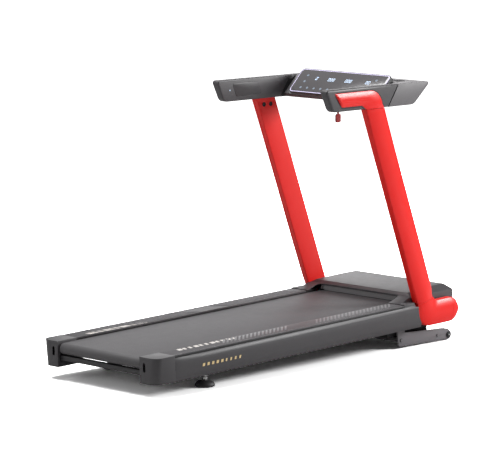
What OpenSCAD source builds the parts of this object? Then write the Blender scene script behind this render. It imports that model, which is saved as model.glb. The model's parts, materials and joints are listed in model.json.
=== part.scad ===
// Motorised treadmill: running deck, incline lever, leaning uprights and console.
// Millimetres. +X is the running direction, +Y the runner's left, +Z up, floor at z = 0.

/* [Deck] */
// Forward rise of the deck at the lowest incline, in degrees
deck_tilt = 1.5; // [1:0.1:2]
// Length from the rear caps to the front of the hood
deck_length = 1899; // [1895:1:1905]
// Half width of the deck at the outer edge of a foot rail
deck_half = 348; // [346:1:350]
// Width of the running belt
belt_width = 490; // [460:2:492]
// Thickness of the running belt
belt_thickness = 2.2; // [1.8:0.1:2.4]
// Height of the foot rails above the rear floor line
foot_rail_top = 167; // [166:0.5:168]
// Underside of the side covers
cover_bottom = 54; // [50:1:58]
// Length of a rear cap
cap_length = 107; // [90:1:120]

/* [Rollers and drive] */
// Radius of both rollers
roller_r = 21; // [20:0.5:22]
// Radius of the large pulley on the front roller
roller_pulley_r = 38; // [30:1:39]
// Radius of the pulley on the motor
motor_pulley_r = 16; // [14:1:20]
// Radius of the drive motor
motor_r = 42; // [36:1:43]

/* [Incline lever] */
// Radius of the front floor wheels
wheel_r = 26; // [24:0.5:27]
// Width of a floor wheel
wheel_width = 22; // [18:1:24]
// Thickness of the lever plates
lever_plate = 6; // [5:0.5:6]

/* [Rear feet] */
// Radius of the rubber pad
foot_pad_r = 43; // [36:1:45]
// Radius of the threaded stem
foot_stem_r = 6; // [5:0.5:7]

/* [Uprights] */
// Backward lean of the uprights, in degrees
upright_lean = 21.4; // [21:0.1:21.8]
// Depth of an upright from its rear face to its front face, measured level
upright_depth = 113; // [108:1:116]
// Inner face of an upright
upright_in = 319; // [318.5:0.5:320]
// Outer face of an upright
upright_out = 346; // [344:0.5:346]

/* [Console] */
// Top of the handles above the floor
console_top = 1200; // [1198:1:1202]
// Depth of the handles from top to bottom
handle_depth = 97; // [95:1:98]
// Outer face of a handle
handle_out = 350; // [348:1:352]
// Inner face of a handle
handle_in = 311; // [308:1:313]
// Width of the display
display_width = 544; // [500:2:550]
// Length of the display along its slope
display_length = 142; // [132:1:144]
// Slope of the display, in degrees
display_slope = 44.5; // [44:0.5:45]

/* [Hidden] */

fine = 64;
smooth = 32;
gap = 0.3;
running = 0.05;

wheel_x = 1886;
mid_x = 956;

// Frame tubes and deck layers, all in the tilted deck frame
rail_in = 264;
rail_out = 304;
rail_low = 82;
rail_high = 124;
rail_rear = 12;
rail_front = 1878;
tube_wall = 2;
foot_rail_in = 255;
foot_rail_low = foot_rail_top - 9;
foot_rail_front = 1528;
belt_top = foot_rail_top - 10;
roller_z = belt_top - belt_thickness - gap - roller_r;
rear_roller_x = 27;
front_roller_x = 1650;
axle_r = 8;
board_top = belt_top - belt_thickness - gap;
board_low = board_top - 16;
lip_x = 1612;

// Drive bay
motor_x = 1792;
motor_z = 128;
pulley_y = 247;
pulley_width = 14;

// Hood
hood_rear = 1534;
hood_top = 212;
hood_half = 312;
hood_low = 128;
hood_wall = 3;

// Incline lever and its actuator
pivot = [1552, 62];
pull = [1565, -3];
wheel_z = -25.2;
lever_out = 295;
lever_in = lever_out - lever_plate;
actuator_eye = [1800, 110];
reach = norm(pull - actuator_eye);
actuator_angle = atan2(actuator_eye[1] - pull[1], actuator_eye[0] - pull[0]);

// Rear foot
foot_x = 340;
foot_y = 284;

// Uprights in the level frame
upright_foot = [1610, 224];
lean_slope = tan(upright_lean);
function rear_x(z) = upright_foot[0] - (z - upright_foot[1]) * lean_slope;
console_low = console_top - handle_depth;
handle_tip = 1016;
console_nose = 1674;
seam_low_x = 1409;
seam_high_x = 1475;

// Display in the level frame
display_foot = [1417.5, 1130];

function arc(c, r, a0, a1, n) =
    [for (i = [0:n]) [c[0] + r * cos(a0 + (a1 - a0) * i / n), c[1] + r * sin(a0 + (a1 - a0) * i / n)]];

function round_box(a, b, r) = concat(
    arc([b[0] - r, b[1] - r], r, 0, 90, 6),
    arc([a[0] + r, b[1] - r], r, 90, 180, 6),
    arc([a[0] + r, a[1] + r], r, 180, 270, 6),
    arc([b[0] - r, a[1] + r], r, 270, 360, 6));

function level_to_deck(p) = [
    p[0] * cos(deck_tilt) + p[1] * sin(deck_tilt),
    -p[0] * sin(deck_tilt) + p[1] * cos(deck_tilt)];

module level() {
    translate([-mid_x, 0, 0]) children();
}

module deck() {
    translate([-mid_x, 0, 0]) rotate([0, -deck_tilt, 0]) children();
}

module on_side(s) {
    mirror([0, s < 0 ? 1 : 0, 0]) children();
}

module both_sides() {
    children();
    mirror([0, 1, 0]) children();
}

module box(a, b) {
    translate(a) cube(b - a);
}

// Extrudes an X-Z outline across Y between y0 and y1
module across(y0, y1) {
    translate([0, y1, 0]) rotate([90, 0, 0]) linear_extrude(y1 - y0) children();
}

// A round bar along Y
module bar_y(x, z, r, y0, y1, fn = fine) {
    translate([x, y0, z]) rotate([-90, 0, 0]) cylinder(r = r, h = y1 - y0, $fn = fn);
}

// ---- Frame ----

module frame_rail(s) {
    color("dimgray") difference() {
        deck() on_side(s) difference() {
            box([rail_rear, rail_in, rail_low], [rail_front, rail_out, rail_high]);
            box([rail_rear - 1, rail_in + tube_wall, rail_low + tube_wall],
                [rail_front + 1, rail_out - tube_wall, rail_high - tube_wall]);
        }
        level() translate([foot_x, s * foot_y, 60]) cylinder(r = foot_stem_r + 2, h = 48, $fn = fine);
    }
}

module cross_tube(x0, x1, z0, z1) {
    difference() {
        box([x0, -rail_in, z0], [x1, rail_in, z1]);
        box([x0 + tube_wall, -rail_in - 1, z0 + tube_wall], [x1 - tube_wall, rail_in + 1, z1 - tube_wall]);
    }
}

module frame_cross_tubes() {
    color("dimgray") deck() {
        cross_tube(14, 38, 84, 104);
        for (x = [560, 1100, 1450]) cross_tube(x, x + 40, 84, 104);
        cross_tube(1848, 1876, 84, 112);
    }
}

module lever_ears() {
    for (y = [278, 299]) difference() {
        box([1536, y, 45], [1568, y + 6, rail_low]);
        bar_y(pivot[0], pivot[1], axle_r + 0.02, y - 1, y + 7);
    }
}

module actuator_ears() {
    for (y = [-30, 22]) difference() {
        across(y, y + 8) polygon([[1788, 99], [1848, 86], [1848, 112], [1812, 124], [1788, 124]]);
        bar_y(actuator_eye[0], actuator_eye[1], axle_r + 0.02, y - 1, y + 9);
    }
    bar_y(actuator_eye[0], actuator_eye[1], axle_r, -34, 34);
}

module frame_brackets() {
    color("dimgray") {
        deck() {
            both_sides() {
                lever_ears();
                box([1668, rail_out, 86], [1846, upright_in, 120]);
                difference() {
                    box([56, 270, rail_high], [80, 290, roller_z + 10]);
                    translate([50, 280, roller_z]) rotate([0, 90, 0]) cylinder(r = 4.02, h = 40, $fn = fine);
                }
                difference() {
                    box([1640, 266, rail_high], [1660, 290, roller_z + 12]);
                    bar_y(front_roller_x, roller_z, axle_r + 0.02, 265, 291);
                }
            }
            difference() {
                box([1736, -rail_in, 78], [rail_front - 2, rail_in, rail_low]);
                box([1700, -106, 70], [1820, 40, 90]);
            }
            for (y = [92, 172]) difference() {
                box([1762, y, rail_low], [1822, y + 14, motor_z - motor_r + 12]);
                bar_y(motor_x, motor_z, motor_r, y - 1, y + 15);
            }
            actuator_ears();
        }
        level() for (s = [-1, 1]) translate([foot_x, s * foot_y, 64]) difference() {
            cylinder(r = 13, h = 26.4, $fn = fine);
            translate([0, 0, -1]) cylinder(r = foot_stem_r + running, h = 40, $fn = fine);
        }
    }
}

module lever_pins() {
    color("silver") deck() both_sides() {
        bar_y(pivot[0], pivot[1], axle_r, 276, 307);
        bar_y(pivot[0], pivot[1], 12, 274, 277);
    }
}

// ---- Deck ----

module deck_board() {
    color("saddlebrown") deck() box([cap_length + 3, -262, board_low], [1598, 262, board_top]);
}

module deck_cushions() {
    color("black") deck() both_sides() for (x = [160, 520, 880, 1240, 1560])
        translate([x, 276, rail_high]) {
            cylinder(r = 11, h = board_low - rail_high, $fn = smooth);
            translate([0, -14, 6]) box([-16, -12, 0], [16, 14, board_low - rail_high - 6]);
        }
}

function foot_rail_plan() = concat(
    [[cap_length + 0.5, foot_rail_in], [foot_rail_front, foot_rail_in]],
    arc([foot_rail_front - 14, deck_half - 8], 8, 0, 90, 6),
    [[cap_length + 0.5, deck_half]]);

module foot_rail(s) {
    color([0.27, 0.26, 0.27]) deck() on_side(s) {
        translate([0, 0, foot_rail_low]) linear_extrude(foot_rail_top - foot_rail_low) polygon(foot_rail_plan());
        box([cap_length + 2, 296, board_top + 0.5], [1500, 302, foot_rail_low]);
    }
}

// Outer face of the side cover: t runs from the foot rail down to the underside
function cover_y(t, inset) = deck_half + 10 * sin(180 * pow(t, 0.6)) - inset;
function cover_z(t) = foot_rail_low - 1 + (cover_bottom - foot_rail_low + 1) * t;

function cover_section() = concat(
    [[322, cover_bottom], [322, cover_bottom + 3]],
    [for (i = [10:-1:0]) [cover_y(i / 10, 3), max(cover_z(i / 10), cover_bottom + 3)]],
    [for (i = [0:10]) [cover_y(i / 10, 0), cover_z(i / 10)]]);

// Side outline of a shoe with its cap, from the ankle seam forward
function shoe_outline(cap) = concat(
    [[1626, 156], [1622.5, 136]],
    arc([1708, 136], 86, 180, 270, 10),
    cap ? arc([1838, 105], 55, -90, 90, 14) : [[1832, 50], [1844, 78], [1848, 105], [1844, 132], [1832, 160]],
    arc([1762, 197], 37, 270, 200, 6),
    [[1720, 185]]);

function cap_outline() = concat(
    [[1833, 50]], arc([1840, 105], 55, -90, 90, 14),
    [[1833, 160], [1845, 132], [1849, 105], [1845, 78]]);

module side_cover(s) {
    color([0.23, 0.22, 0.23]) deck() on_side(s) difference() {
        union() {
            translate([cap_length + 0.5, 0, 0]) rotate([90, 0, 90])
                linear_extrude(1640 - cap_length) polygon(cover_section());
            box([foot_rail_front + 1, 314, foot_rail_top - 4], [1640, deck_half, foot_rail_top + 3]);
            box([foot_rail_front + 1, deck_half - 3, foot_rail_low - 6], [1640, deck_half, foot_rail_top]);
        }
        across(300, 370) offset(delta = 6) polygon(shoe_outline(true));
        across(300, 370) polygon([[1604, 150], [1560, 260], [1700, 260], [1700, 150]]);
    }
}

function cap_plan(inset) = concat(
    [[inset - 2, 252 + inset]],
    [for (i = [0:10]) [34 - (36 - inset) * cos(9 * i), 306 + (46 - inset) * sin(9 * i)]],
    [[cap_length, 352 - inset], [cap_length, 252 + inset]]);

module rear_cap(s) {
    color([0.25, 0.24, 0.25]) deck() on_side(s) difference() {
        translate([0, 0, cover_bottom]) linear_extrude(foot_rail_top - cover_bottom - 0.5) polygon(cap_plan(0));
        difference() {
            translate([0, 0, cover_bottom + 3]) linear_extrude(foot_rail_top - cover_bottom - 6.5)
                polygon(cap_plan(3));
            box([-5, 250, 0], [4, 300, 100]);
        }
        box([cap_length - 4, 256, cover_bottom + 3], [cap_length + 1, 348.5, foot_rail_top - 3.5]);
        box([10, 250, cover_bottom + 26], [42, 260, 108]);
        bar_y(rear_roller_x, roller_z, axle_r + 2, 250, 258);
        translate([-5, 279, 0]) rotate([90, 0, 90]) linear_extrude(12)
            polygon(round_box([-7.5, 103], [7.5, 143], 7.4));
    }
}

module roller_bolts() {
    color("silver") deck() both_sides() translate([8, 280, roller_z]) rotate([0, 90, 0]) {
        cylinder(r = 6, h = 6, $fn = 6);
        cylinder(r = 4, h = 84, $fn = fine);
    }
}

// ---- Rollers, belt and drive ----

module rear_axle() {
    color("silver") deck() difference() {
        bar_y(rear_roller_x, roller_z, axle_r, -290, 290);
        both_sides() translate([0, 280, roller_z]) rotate([0, 90, 0]) cylinder(r = 4.05, h = 60, $fn = fine);
    }
}

module front_axle() {
    color("silver") deck() bar_y(front_roller_x, roller_z, axle_r, -292, 292);
}

module roller(x) {
    color("silver") deck() difference() {
        bar_y(x, roller_z, roller_r, -belt_width / 2, belt_width / 2);
        bar_y(x, roller_z, roller_r - 3, -belt_width / 2 + 14, belt_width / 2 - 14);
        bar_y(x, roller_z, axle_r + running, -belt_width, belt_width);
    }
}

module rear_roller() {
    roller(rear_roller_x);
}

module front_roller() {
    roller(front_roller_x);
}

// A grooved pulley along Y
module pulley(x, z, r, bore) {
    difference() {
        union() {
            bar_y(x, z, r - 1.5, pulley_y, pulley_y + pulley_width);
            for (i = [0:4]) bar_y(x, z, r, pulley_y + 1.2 + 2.6 * i, pulley_y + 2.4 + 2.6 * i);
        }
        bar_y(x, z, bore, pulley_y - 1, pulley_y + pulley_width + 1);
    }
}

module roller_pulley() {
    color("black") deck() pulley(front_roller_x, roller_z, roller_pulley_r, axle_r + running);
}

// Loop around two circles in the X-Z plane: r0 at p0 (rear), r1 at p1 (front)
function loop(p0, r0, p1, r1, n) =
    let (d = norm(p1 - p0), a = atan2(p1[1] - p0[1], p1[0] - p0[0]), b = acos((r0 - r1) / d))
    concat(arc(p0, r0, a + b, a + 360 - b, n), arc(p1, r1, a - b, a + b, n));

module running_belt() {
    p0 = [rear_roller_x, roller_z];
    p1 = [front_roller_x, roller_z];
    inner = roller_r + gap;
    outer = inner + belt_thickness;
    color([0.16, 0.16, 0.17]) deck() across(-belt_width / 2, belt_width / 2) difference() {
        polygon(loop(p0, outer, p1, outer, 32));
        polygon(loop(p0, inner, p1, inner, 32));
    }
}

module drive_belt() {
    p0 = [front_roller_x, roller_z];
    p1 = [motor_x, motor_z];
    color([0.1, 0.1, 0.1]) deck() across(pulley_y + 1, pulley_y + 13) difference() {
        polygon(loop(p0, roller_pulley_r + gap + 2, p1, motor_pulley_r + gap + 2, 32));
        polygon(loop(p0, roller_pulley_r + gap, p1, motor_pulley_r + gap, 32));
    }
}

module drive_motor() {
    color([0.15, 0.15, 0.16]) deck() difference() {
        union() {
            bar_y(motor_x, motor_z, motor_r, 72, 208);
            bar_y(motor_x, motor_z, motor_r - 8, 66, 72);
            bar_y(motor_x, motor_z, 15, 208, 214);
        }
        bar_y(motor_x, motor_z, axle_r - 1 + running, 190, 220);
        bar_y(motor_x, motor_z, 30, 80, 190);
    }
}

module motor_rotor() {
    color("gray") deck() {
        bar_y(motor_x, motor_z, axle_r - 1, 176, 262);
        bar_y(motor_x, motor_z, 27, 96, 176);
        bar_y(motor_x, motor_z, 40, 217, 237);
        pulley(motor_x, motor_z, motor_pulley_r, axle_r - 2);
    }
}

module motor_controller() {
    color("darkgreen") deck() {
        box([1750, -252, rail_low], [1838, -116, rail_low + 8]);
        for (i = [0:8]) box([1754 + 9 * i, -244, rail_low + 8], [1757 + 9 * i, -180, rail_low + 44]);
        box([1754, -176, rail_low + 8], [1790, -126, rail_low + 34]);
        translate([1814, -150, rail_low + 8]) cylinder(r = 14, h = 40, $fn = fine);
    }
}

module power_inlet() {
    color("black") deck() difference() {
        box([1868, -236, 63.2], [1889, -204, 77.4]);
        box([1874, -232, 66], [1890, -208, 75]);
    }
}

module power_switch() {
    color("black") deck() difference() {
        union() {
            box([1881.2, -180, 64.8], [1890, -162, 75.8]);
            bar_y(1881.2, 70.3, 3, -180, -162);
        }
        translate([1897, -182, 70.3]) rotate([-90, 0, 0]) cylinder(r = 8, h = 30, $fn = fine);
    }
}

// ---- Hood and belly pan ----

function hood_side(inset) = [
    [hood_rear + inset, foot_rail_top + 1], [hood_rear + 16, foot_rail_top + 5 - inset],
    [lip_x + 4, hood_top - 20 - inset], [lip_x + 14, hood_top - 9 - inset],
    [lip_x + 60, hood_top - 6 - inset], [1868 - inset / 2, hood_top - inset],
    [1884 - inset, hood_top - 3 - inset / 2], [deck_length - inset, hood_top - 24],
    [deck_length - inset, hood_low - inset], [hood_rear + inset, hood_low - inset]];

function hood_section(inset) = [
    [-hood_half + inset, hood_low - 1 - inset], [-hood_half + inset, hood_top - 26 - inset / 2],
    [-270, hood_top - 3 - inset], [-230, hood_top + 1 - inset], [230, hood_top + 1 - inset],
    [270, hood_top - 3 - inset], [hood_half - inset, hood_top - 26 - inset / 2],
    [hood_half - inset, hood_low - 1 - inset]];

module hood_block(inset) {
    intersection() {
        across(-hood_half - 1, hood_half + 1) polygon(hood_side(inset));
        translate([hood_rear - 10, 0, 0]) rotate([90, 0, 90]) linear_extrude(400) polygon(hood_section(inset));
    }
}

module motor_hood() {
    color([0.27, 0.26, 0.27]) deck() difference() {
        union() {
            difference() {
                hood_block(0);
                hood_block(hood_wall);
            }
            translate([lip_x, 0, 0]) rotate([90, 0, 90]) linear_extrude(15)
                polygon(round_box([-239, 158.5], [239, 186], 13));
        }
        translate([0, 0, 100]) linear_extrude(130)
            polygon(round_box([hood_rear - 60, -foot_rail_in + 5], [lip_x, foot_rail_in - 5], 25));
        both_sides() box([hood_rear - 20, foot_rail_in - 6, 100], [lip_x + 8, 330, foot_rail_top + 1]);
        both_sides() box([hood_rear - 20, 200, 100], [lip_x + 60, 330, 150]);
        translate([lip_x - 30, 0, 0]) rotate([90, 0, 90]) linear_extrude(42)
            polygon(round_box([-236, 140], [236, 183], 11));
        box([lip_x - 30, -252, 100], [lip_x + 40, 252, 158.5]);
    }
}

module belly_pan() {
    color("black") deck() difference() {
        union() {
            box([1712, -262, 60], [1888, 262, 63]);
            box([1884, -262, 60], [1887, 262, hood_low - 4]);
        }
        box([1700, -108, 50], [1822, 42, 80]);
        box([1883, -236.2, 63.1], [1895, -203.8, 77.6]);
        box([1883, -180.5, 63.1], [1895, -161.5, 77.8]);
    }
}

// ---- Uprights ----

function upright_side(low, high) = [
    [rear_x(low), low], [rear_x(low) + upright_depth, low],
    [rear_x(high) + upright_depth, high], [rear_x(high), high]];

// The tube's lower end turns forward inside the shoe
module upright(s) {
    color([0.72, 0.07, 0.06]) {
        level() on_side(s) difference() {
            across(upright_in, upright_out) polygon(upright_side(206, 1128));
            across(upright_in + 2, upright_out - 2) polygon([
                [rear_x(230) + 3, 230], [rear_x(230) + upright_depth - 3, 230],
                [rear_x(1120) + upright_depth - 3, 1120], [rear_x(1120) + 3, 1120]]);
        }
        deck() on_side(s) across(upright_in, 340) polygon([[1656, 84], [1800, 84], [1800, 122],
            [1738, 124], [1724, 166], [1640, 166]]);
    }
}

module upright_cover(s) {
    z0 = 224;
    z1 = console_low - gap;
    color([0.9, 0.16, 0.13]) level() on_side(s) for (i = [0:3]) {
        e = i == 3 ? 7 : 1.2 * i;
        across(upright_out + (i == 0 ? 0 : 1 + i * 0.9), upright_out + 1.9 + i * 0.9) polygon([
            [rear_x(z0) - 1 + e, z0], [rear_x(z0) + upright_depth + 1 - e, z0 + 21],
            [rear_x(z1) + upright_depth + 1 - e, z1], [rear_x(z1) - 1 + e, z1]]);
    }
}

module shoe(s) {
    color([0.9, 0.16, 0.13]) deck() on_side(s) difference() {
        across(upright_in + gap, 351) polygon(shoe_outline(false));
        across(upright_in - 2, upright_out + 0.3) polygon([[1600, 230], [1600, 142], [1636, 138], [1650, 81],
            [1827, 81], [1833, 105], [1827, 127], [1742, 129], [1742, 230]]);
    }
}

module shoe_cap(s) {
    color([0.88, 0.15, 0.12]) deck() on_side(s) across(upright_in + gap, 351) polygon(cap_outline());
}

module upright_bolts() {
    color([0.1, 0.1, 0.1]) level() both_sides() for (x = [1310, 1353])
        bar_y(x, 1074.5, 6.5, upright_in - 4, upright_in, 32);
}

// ---- Console ----

function handle_side() = concat(
    arc([handle_tip + 9, console_top - 9], 9, 90, 190, 5),
    arc([handle_tip + 58, console_low + 34], 34, 195, 270, 6),
    [[seam_low_x, console_low], [seam_high_x, console_top]]);

function front_side() = concat(
    [[seam_low_x + 0.4, console_low]],
    arc([1556, console_low + 52], 52, 270, 310, 5),
    arc([console_nose - 10, console_top - 9], 9, -40, 90, 6),
    [[seam_high_x + 0.4, console_top]]);

// Bent band that carries the upright's line back along the handle
function inlay_side(inset) = concat(
    [[rear_x(console_low) + inset, console_low + gap]],
    arc([rear_x(console_low) - 34, console_low - 2], 22 + inset, 30, 90, 5),
    [[1106 + inset, 1120 + inset], [1062 + inset, 1183 - inset]],
    arc([1290, console_low], 82 - inset, 90, 12, 8),
    [[rear_x(console_low) + upright_depth - inset, console_low + gap]]);

module handle(s) {
    color([0.2, 0.19, 0.2]) level() on_side(s) difference() {
        across(handle_in, handle_out) polygon(handle_side());
        across(handle_out - 4, handle_out + 1) offset(delta = 0.3) polygon(inlay_side(0));
        across(handle_in - 1, handle_in + 3) polygon(panel_side(0.3));
        level_slot_for_upright();
        if (s < 0) translate([1104, 331, console_low - 1]) cylinder(r = 9.3, h = 16, $fn = fine);
    }
}

module level_slot_for_upright() {
    across(upright_in - 0.3, upright_out + 0.3) polygon([
        [rear_x(1130) - 16, 1130], [rear_x(1130) + upright_depth + 8, 1130],
        [rear_x(1090) + upright_depth + 8, 1090], [rear_x(1090) - 8, 1090]]);
}

module handle_inlay(s) {
    color([0.92, 0.17, 0.14]) level() on_side(s) across(handle_out - 3.8, handle_out + 1)
        polygon(inlay_side(0));
}

function panel_side(grow) = [
    [1101 - grow, 1184 + grow], [1260 + grow, 1184 + grow], [1291 + grow, 1128 - grow], [1128 - grow, 1124 - grow]];

module sensor_panels() {
    color([0.1, 0.1, 0.11]) level() both_sides()
        across(handle_in + 0.4, handle_in + 3) polygon(panel_side(0));
}

function display_back(z) = display_foot[0] + 22 * sin(display_slope)
    + (z - display_foot[1] + 22 * cos(display_slope)) / tan(display_slope);

module console_front() {
    color([0.36, 0.35, 0.37]) level() difference() {
        union() {
            both_sides() across(handle_in, handle_out) polygon(front_side());
            across(-handle_in - 1, handle_in + 1) polygon(concat(
                [[display_back(console_low + 15), console_low + 15], [1446, console_low]],
                arc([1556, console_low + 52], 52, 270, 310, 5),
                arc([console_nose - 10, console_top - 9], 9, -40, 90, 6),
                [[display_back(console_top), console_top]]));
        }
        translate([0, 0, console_top - 26]) linear_extrude(40)
            polygon(round_box([1552, -190], [1640, 190], 12));
        both_sides() translate([1584, 246, console_top - 40]) cylinder(r = 34, h = 60, $fn = fine);
    }
}

module display_plane() {
    level() translate([display_foot[0], 0, display_foot[1]]) rotate([0, -display_slope, 0]) children();
}

function screen_plan(inset, r) =
    round_box([inset, -display_width / 2 + inset], [display_length - inset, display_width / 2 - inset], r);

module display_housing() {
    color([0.12, 0.12, 0.13]) display_plane() difference() {
        translate([0, 0, -21.6]) linear_extrude(21.6) polygon(screen_plan(0, 20));
        translate([0, 0, -2.4]) linear_extrude(5) polygon(screen_plan(4, 17));
    }
}

module display_glass() {
    color([0.35, 0.36, 0.42]) display_plane() translate([0, 0, -2.4]) linear_extrude(2.6)
        polygon(screen_plan(7, 15));
}

module light_ring() {
    color([0.85, 0.85, 1]) display_plane() translate([0, 0, -2.4]) linear_extrude(2.4) difference() {
        polygon(screen_plan(4, 17));
        polygon(screen_plan(7, 15));
    }
}

module safety_socket() {
    color("black") level() translate([1104, -331, console_low + 1]) difference() {
        cylinder(r = 9.2, h = 14, $fn = fine);
        translate([0, 0, -1]) cylinder(r = 5, h = 11, $fn = fine);
    }
}

module safety_key() {
    color([0.6, 0.05, 0.05]) level() translate([1104, -331, 0]) {
        translate([0, 0, console_low - 10]) cylinder(r = 4.6, h = 20, $fn = fine);
        across(-4, 4) polygon(round_box([-14, console_low - 46], [14, console_low - 9], 8));
    }
}

// ---- Incline lever ----

function lever_outline() = concat(
    arc(pivot, 16, 180, 50, 8),
    [[1588, 44], [1590, 34]],
    arc([1600, 38], 11, 200, 260, 3),
    [[1850, 10]],
    arc([wheel_x, wheel_z], 20, 75, -90, 12),
    [[1850, -43]],
    arc([1560, -18], 13, 265, 185, 6));

module lever_plate(s) {
    color([0.42, 0.41, 0.43]) deck() on_side(s) difference() {
        across(lever_in, lever_out) polygon(lever_outline());
        bar_y(pivot[0], pivot[1], axle_r + running, lever_in - 1, lever_out + 1);
        bar_y(wheel_x, wheel_z, 6.02, lever_in - 1, lever_out + 1);
    }
}

module lever_cross_tubes() {
    color([0.15, 0.15, 0.16]) deck() {
        bar_y(pull[0], pull[1], 10, -lever_in, lever_in);
        bar_y(1812, -18, 14, -lever_in, lever_in);
        both_sides() {
            for (p = [pull, [1812, -18]]) bar_y(p[0], p[1], 7, lever_out, lever_out + 4, 6);
            difference() {
                across(254, 259) polygon(concat([[1796, -2], [1796, -34]], arc([wheel_x, wheel_z], 14, -90, 90, 10)));
                bar_y(wheel_x, wheel_z, 6.02, 253, 260);
            }
        }
    }
}

module wheel_axles() {
    color("silver") deck() both_sides() {
        bar_y(wheel_x, wheel_z, 6, 250, 299);
        bar_y(wheel_x, wheel_z, 9, lever_out + 0.2, 300, 6);
    }
}

module wheel(s) {
    color("black") deck() on_side(s) difference() {
        union() {
            bar_y(wheel_x, wheel_z, wheel_r, 264.5, 264.5 + wheel_width - 2);
            bar_y(wheel_x, wheel_z, 11, 262.5, 264.5 + wheel_width);
        }
        bar_y(wheel_x, wheel_z, 6 + running, 260, 290);
    }
}

// Places children along the actuator: x runs from the fixed eye towards the lever
module on_actuator() {
    deck() translate([actuator_eye[0], 0, actuator_eye[1]]) rotate([0, 180 - actuator_angle, 0]) children();
}

module actuator_housing() {
    color([0.3, 0.3, 0.32]) on_actuator() difference() {
        union() {
            rotate([90, 0, 0]) cylinder(r = 14, h = 36, center = true, $fn = fine);
            box([10, -16, -11], [36, 16, 11]);
            box([34, -29, -25], [90, 29, 25]);
            translate([62, -26, 0]) rotate([90, 0, 0]) cylinder(r = 22, h = 70, $fn = fine);
            translate([88, 0, 0]) rotate([0, 90, 0]) cylinder(r = 17, h = 92, $fn = fine);
        }
        rotate([90, 0, 0]) cylinder(r = axle_r + running, h = 60, center = true, $fn = fine);
        translate([60, 0, 0]) rotate([0, 90, 0]) cylinder(r = 11 + running, h = 200, $fn = fine);
    }
}

module actuator_rod() {
    color("silver") on_actuator() difference() {
        union() {
            translate([66, 0, 0]) rotate([0, 90, 0]) cylinder(r = 11, h = reach - 66 - 18, $fn = fine);
            translate([reach, 0, 0]) rotate([90, 0, 0]) cylinder(r = 22, h = 26, center = true, $fn = fine);
        }
        translate([reach, 0, 0]) rotate([90, 0, 0]) cylinder(r = 14, h = 40, center = true, $fn = fine);
    }
}

// ---- Rear feet ----

module foot_pad(s) {
    color([0.08, 0.08, 0.08]) level() translate([foot_x, s * foot_y, 0]) rotate_extrude($fn = fine)
        polygon(concat([[0, 0], [foot_pad_r - 2, 0], [foot_pad_r, 3]],
            [for (a = [0:10:60]) [14 + (foot_pad_r - 14) * cos(a), 6 + 20 * sin(a)]],
            [[14, 26], [0, 26]]));
}

module foot_stem(s) {
    color("silver") level() translate([foot_x, s * foot_y, 26]) {
        cylinder(r = 11, h = 15, $fn = 6);
        cylinder(r = foot_stem_r, h = 82, $fn = fine);
    }
}

frame_rail(1);  // frame_rail_left
frame_rail(-1);  // frame_rail_right
frame_cross_tubes();
frame_brackets();
lever_pins();
deck_board();
deck_cushions();
foot_rail(1);  // foot_rail_left
foot_rail(-1);  // foot_rail_right
side_cover(1);  // side_cover_left
side_cover(-1);  // side_cover_right
rear_cap(1);  // rear_cap_left
rear_cap(-1);  // rear_cap_right
roller_bolts();
rear_axle();
front_axle();
rear_roller();
front_roller();
roller_pulley();
running_belt();
drive_belt();
drive_motor();
motor_rotor();
motor_controller();
power_inlet();
power_switch();
motor_hood();
belly_pan();
upright(1);  // upright_left
upright(-1);  // upright_right
upright_cover(1);  // upright_cover_left
upright_cover(-1);  // upright_cover_right
shoe(1);  // shoe_left
shoe(-1);  // shoe_right
shoe_cap(1);  // shoe_cap_left
shoe_cap(-1);  // shoe_cap_right
upright_bolts();
handle(1);  // handle_left
handle(-1);  // handle_right
handle_inlay(1);  // handle_inlay_left
handle_inlay(-1);  // handle_inlay_right
sensor_panels();
console_front();
display_housing();
display_glass();
light_ring();
safety_socket();
safety_key();
lever_plate(1);  // lever_plate_left
lever_plate(-1);  // lever_plate_right
lever_cross_tubes();
wheel_axles();
wheel(1);  // wheel_left
wheel(-1);  // wheel_right
foot_pad(1);  // foot_pad_left
foot_pad(-1);  // foot_pad_right
foot_stem(1);  // foot_stem_left
foot_stem(-1);  // foot_stem_right
actuator_housing();
actuator_rod();
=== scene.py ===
import json
import math

import bmesh
import bpy
from mathutils import Matrix, Vector


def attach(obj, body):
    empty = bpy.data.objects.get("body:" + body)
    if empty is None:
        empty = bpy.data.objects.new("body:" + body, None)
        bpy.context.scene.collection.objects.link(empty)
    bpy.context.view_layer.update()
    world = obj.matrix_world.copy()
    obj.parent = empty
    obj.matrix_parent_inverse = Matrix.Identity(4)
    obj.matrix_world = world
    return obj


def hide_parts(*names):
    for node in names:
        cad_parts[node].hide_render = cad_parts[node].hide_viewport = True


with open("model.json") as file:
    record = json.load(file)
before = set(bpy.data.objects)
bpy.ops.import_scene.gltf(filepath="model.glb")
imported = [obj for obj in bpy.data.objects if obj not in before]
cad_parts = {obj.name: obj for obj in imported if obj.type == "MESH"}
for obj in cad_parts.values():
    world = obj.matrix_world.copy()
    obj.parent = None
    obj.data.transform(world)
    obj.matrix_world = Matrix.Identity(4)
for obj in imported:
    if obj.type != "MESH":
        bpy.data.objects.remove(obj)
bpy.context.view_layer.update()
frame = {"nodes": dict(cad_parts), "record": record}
nodes = frame["nodes"]

mm = 0.001
MIDDLE = 956 * mm
DECK_TILT = math.radians(1.5)
DECK = Matrix.Translation((-MIDDLE, 0, 0)) @ Matrix.Rotation(-DECK_TILT, 4, "Y")
LEVEL = Matrix.Translation((-MIDDLE, 0, 0))
SIDES = (("left", 1), ("right", -1))


# ---- Workshop: picking, cutting and finishing pieces ----

def put_down():
    """Leaves edit mode with nothing selected."""
    if bpy.context.object and bpy.context.object.mode != "OBJECT":
        bpy.ops.object.mode_set(mode="OBJECT")
    bpy.ops.object.select_all(action="DESELECT")


def take_up(obj):
    """Makes one piece the selected one."""
    put_down()
    obj.select_set(True)
    bpy.context.view_layer.objects.active = obj
    return obj


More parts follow.
